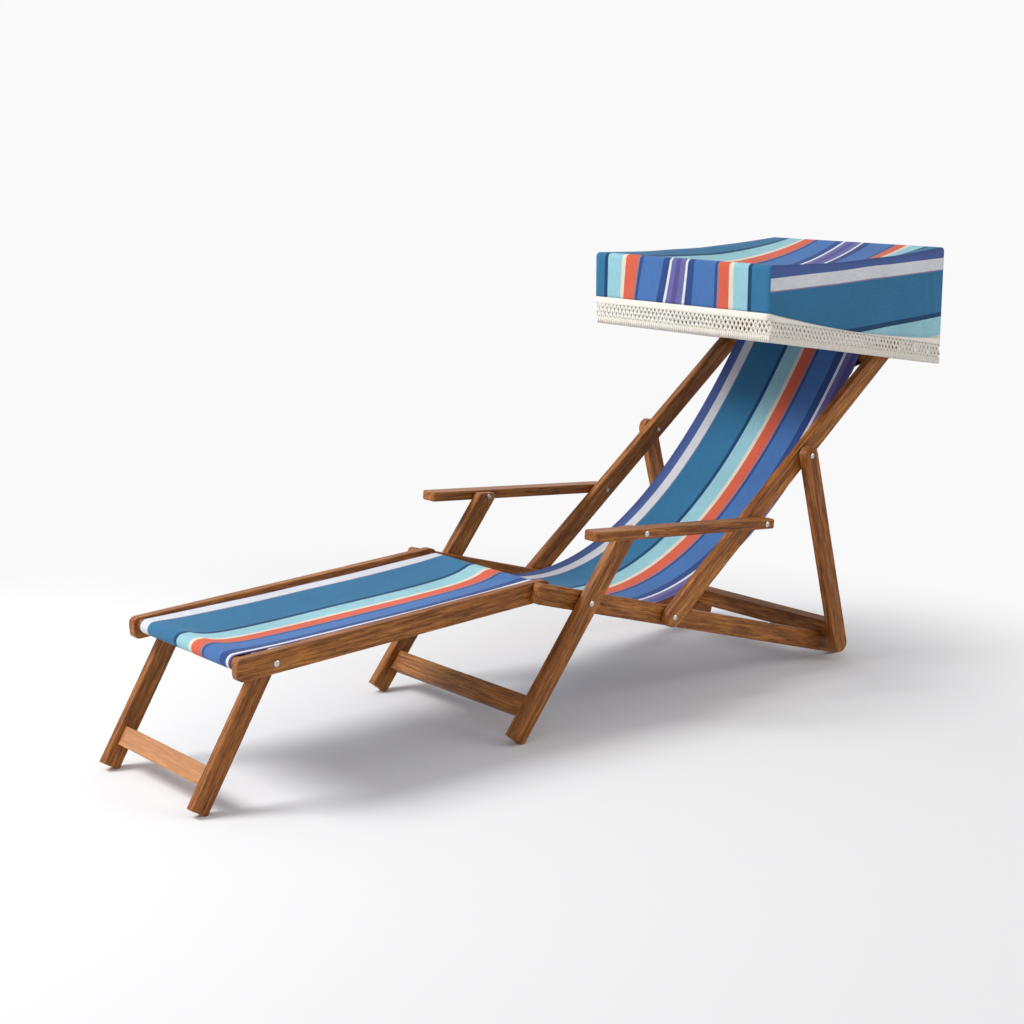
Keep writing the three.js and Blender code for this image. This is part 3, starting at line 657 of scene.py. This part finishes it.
bm = bmesh.new()
bm.from_mesh(cover.data)
for sign in (-1, 1):
    side = side_piece(sign)
    bm.from_mesh(side.data)
    bpy.data.objects.remove(side)
bmesh.ops.remove_doubles(bm, verts=bm.verts, dist=SEAM)
for v in bm.verts:
    v.co = drape(v.co)
bmesh.ops.recalc_face_normals(bm, faces=bm.faces)
bm.to_mesh(cover.data)
bm.free()
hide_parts("canopy_cover")
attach(cover, "canopy")


# The fringe is knotted cotton cord, soft and off-white: a woven heading sewn to the hem,
# rows of open diamonds tied with square knots, and a short cut tassel under each last knot.
TWIST_SCALE = 260           # bands 1.4 mm apart, the lay of the cord's strands
FLUFF_PER_METRE = 420


def knotted_cotton(name):
    material, tree = new_material(name)
    where = add_node(tree, "TexCoord", {}).outputs["Object"]
    twist = add_node(tree, "TexWave", {
        "Vector": where, "Scale": TWIST_SCALE, "Distortion": 3, "Detail": 1,
    }, wave_type="BANDS", bands_direction="DIAGONAL").outputs["Fac"]
    fluff = add_node(tree, "TexNoise", {
        "Vector": where, "Scale": FLUFF_PER_METRE, "Detail": 3,
    }).outputs["Fac"]
    colour = add_node(tree, "ValToRGB", {"Fac": fluff}, stops=[
        (0.3, "f5eddf"), (0.7, "fbf7ee"),
    ]).outputs["Color"]
    height = add_node(tree, "Math", {0: twist, 1: fluff}, operation="ADD").outputs["Value"]
    raised = add_node(tree, "Bump", {
        "Height": height, "Strength": 0.6, "Distance": 0.0005,
    }).outputs["Normal"]
    shader = add_node(tree, "BsdfPrincipled", {
        "Base Color": colour, "Roughness": 0.95, "Normal": raised, "Sheen Weight": 0.2,
        "Sheen Roughness": 0.5, "Specular IOR Level": 0.2,
    }).outputs["BSDF"]
    add_node(tree, "OutputMaterial", {"Surface": shader})
    return material


cotton = knotted_cotton("knotted_cotton_cord")
HEADING = 0.018             # the depth of the woven band
HEADING_THICK = 0.0022
FRINGE_DROP = 0.069         # from the hem to the ends of the tassels
ROW_DROP = 0.0118
KNOT_ROWS = 4
KNOT_PITCH = 0.014
KNOT_RADIUS = 0.0040
KNOT_SHAPE = (1, 1.2, 0.8, 1)       # a little long and flat
CORD_RADIUS = 0.0026        # and that of a tassel at its cut end
CORDS_APART = 0.0004        # crossing cords lie this far to either side of the middle
TASSEL_RADIUS = 0.0036      # where it is tied
TASSEL_TUCK = 0.002         # a tassel starts this far up inside its knot
TASSEL_SWAY = 0.0010
TASSEL_STEP = 3.7           # in the noise, from one tassel to the next


def fringe(name, node, length, locate, out):
    """A fringe, made flat with x along it and y down, then hung where locate says."""
    columns = round(length / KNOT_PITCH)
    pitch = length / columns
    bm = bmesh.new()
    bmesh.ops.create_grid(bm, x_segments=columns, y_segments=3, size=0.5)
    bmesh.ops.scale(bm, verts=bm.verts, vec=(length, HEADING, 1))
    bmesh.ops.translate(bm, verts=bm.verts, vec=(length / 2, HEADING / 2, 0))
    bmesh.ops.solidify(bm, geom=bm.faces, thickness=HEADING_THICK)
    bmesh.ops.translate(bm, verts=bm.verts, vec=(0, 0, HEADING_THICK / 2))

    def cord(a, b, a_radius):
        line = Vector(b) - Vector(a)
        turn = line.to_track_quat("Z", "Y").to_matrix().to_4x4()
        middle = Matrix.Translation((Vector(a) + Vector(b)) / 2)
        bmesh.ops.create_cone(bm, cap_ends=True, segments=6, radius1=a_radius,
                              radius2=CORD_RADIUS, depth=line.length, matrix=middle @ turn)

    for row in range(KNOT_ROWS):
        shift = row % 2 * pitch / 2
        down = HEADING + row * ROW_DROP
        for k in range(columns + 1 - row % 2):
            at = k * pitch + shift
            if row:
                tied = Matrix.Translation((at, down, 0))
                bmesh.ops.create_icosphere(bm, subdivisions=1, radius=KNOT_RADIUS,
                                           matrix=tied @ Matrix.Diagonal(KNOT_SHAPE))
            if row < KNOT_ROWS - 1:
                for side in (-1, 1):
                    end = at + side * pitch / 2
                    if 0 <= end <= length:
                        lift = CORDS_APART * side
                        cord((at, down, lift), (end, down + ROW_DROP, lift), CORD_RADIUS)
            else:
                for strand in (0, pitch / 2):
                    if at + strand < length:
                        sway = noise.noise(Vector((k * TASSEL_STEP, length, strand)))
                        sway *= TASSEL_SWAY
                        cord((at + strand, down - TASSEL_TUCK, 0),
                             (at + strand + sway, FRINGE_DROP, sway), TASSEL_RADIUS)
    for v in bm.verts:
        a, d, t = v.co
        v.co = drape(locate(a, d)) + out * t
    bm.normal_update()      # hanging has turned the faces, and the next line reads them
    bmesh.ops.recalc_face_normals(bm, faces=bm.faces)
    mesh = bpy.data.meshes.new(name)
    bm.to_mesh(mesh)
    bm.free()
    mesh.materials.append(cotton)
    for polygon in mesh.polygons:
        polygon.use_smooth = True
    piece = bpy.data.objects.new(name, mesh)
    scene.collection.objects.link(piece)
    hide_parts(node)
    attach(piece, "canopy")
    return piece


CORNER_GAP = 0.002          # the end fringes stop this far short of each corner
END_RUN = 2 * (COVER_HALF - CORNER_GAP)


def along_side(sign):
    return lambda a, d: (sign * COVER_HALF, front_foot.x + a, hem_at(front_foot.x + a) - d)


def along_end(y, hem):
    return lambda a, d: (a - END_RUN / 2, y, hem - d)


fringes = [
    fringe("fringe_cord_right", "fringe_right", SIDE_RUN, along_side(-1), Vector((-1, 0, 0))),
    fringe("fringe_cord_left", "fringe_left", SIDE_RUN, along_side(1), Vector((1, 0, 0))),
    fringe("fringe_cord_front", "fringe_front", END_RUN,
           along_end(front_foot.x, FRONT_HEM), Vector((0, -1, 0))),
    fringe("fringe_cord_rear", "fringe_rear", END_RUN,
           along_end(rear_foot.x, REAR_HEM), Vector((0, 1, 0))),
]


# The floor is a sweep of matt pale paper. It takes the chair's shadow near by, and further
# off it turns to the plain white of the room, which only the camera sees.
FLOOR_RADIUS = 30
SHADOW_MIDDLE = (0.25, -0.75, 0)
PAPER_TO = 1.4              # metres from there, where it starts to turn white
WHITE_FROM = 2.4
floor_mesh = bpy.data.meshes.new("floor")
ground = bmesh.new()
bmesh.ops.create_circle(ground, cap_ends=True, segments=64, radius=FLOOR_RADIUS)
ground.to_mesh(floor_mesh)
ground.free()
floor = bpy.data.objects.new("floor", floor_mesh)
scene.collection.objects.link(floor)
paper, tree = new_material("paper_sweep")
spot = add_node(tree, "TexCoord", {}).outputs["Object"]
reach = add_node(tree, "VectorMath", {
    0: spot, 1: SHADOW_MIDDLE,
}, operation="DISTANCE").outputs["Value"]
far = add_node(tree, "MapRange", {
    "Value": reach, "From Min": PAPER_TO, "From Max": WHITE_FROM,
}, interpolation_type="SMOOTHSTEP").outputs["Result"]
matt = add_node(tree, "BsdfPrincipled", {
    "Base Color": linear("eeeeef"), "Roughness": 0.9, "Specular IOR Level": 0.2,
}).outputs["BSDF"]
seen = add_node(tree, "LightPath", {}).outputs["Is Camera Ray"]
glow = add_node(tree, "Emission", {
    "Color": linear("f9f9fa"), "Strength": 1.0,
}).outputs["Emission"]
share = add_node(tree, "Math", {0: far, 1: seen}, operation="MULTIPLY").outputs["Value"]
both = add_node(tree, "MixShader", {0: share, 1: matt, 2: glow}).outputs["Shader"]
add_node(tree, "OutputMaterial", {"Surface": both})
floor_mesh.materials.append(paper)


# The studio is a white room, a little darker on the chair's left, with one large soft lamp
# high before the foot end and a weak one off the head end.
ROOM_RIGHT = 0.72           # the room's light on the chair from either side
ROOM_LEFT = 0.47
LAMPS_AIM = Vector((0, 0, 0.4))
world = bpy.data.worlds.new("room")
world.use_nodes = True
room = world.node_tree
room.nodes.clear()
rays = add_node(room, "LightPath", {})
shown = rays.outputs["Is Camera Ray"]
for kind in ("Is Glossy Ray", "Is Transmission Ray"):
    shown = add_node(room, "Math", {0: shown, 1: rays.outputs[kind]},
                     operation="MAXIMUM").outputs["Value"]
aim = add_node(room, "TexCoord", {}).outputs["Generated"]
across = add_node(room, "SeparateXYZ", {"Vector": aim}).outputs["X"]
even = add_node(room, "MapRange", {
    "Value": across, "From Min": -1.0, "From Max": 1.0,
    "To Min": ROOM_RIGHT, "To Max": ROOM_LEFT,
}).outputs["Result"]
strength = add_node(room, "MapRange", {"Value": shown, "To Min": even, "To Max": 1.0})
backdrop = add_node(room, "Background", {
    "Color": linear("f9f9fa"), "Strength": strength.outputs["Result"],
}).outputs["Background"]
add_node(room, "OutputWorld", {"Surface": backdrop})
scene.world = world


def soft_lamp(name, place, size, power):
    lamp = bpy.data.lights.new(name, "AREA")
    lamp.shape = "DISK"
    lamp.size = size
    lamp.energy = power
    stand = bpy.data.objects.new(name, lamp)
    stand.location = place
    beam = LAMPS_AIM - stand.location
    stand.rotation_euler = beam.to_track_quat("-Z", "Y").to_euler()
    scene.collection.objects.link(stand)


soft_lamp("key_lamp", (-1.9, -3.2, 3.8), 2.2, 185)
soft_lamp("fill_lamp", (3.4, 2.6, 2.8), 2.4, 32)
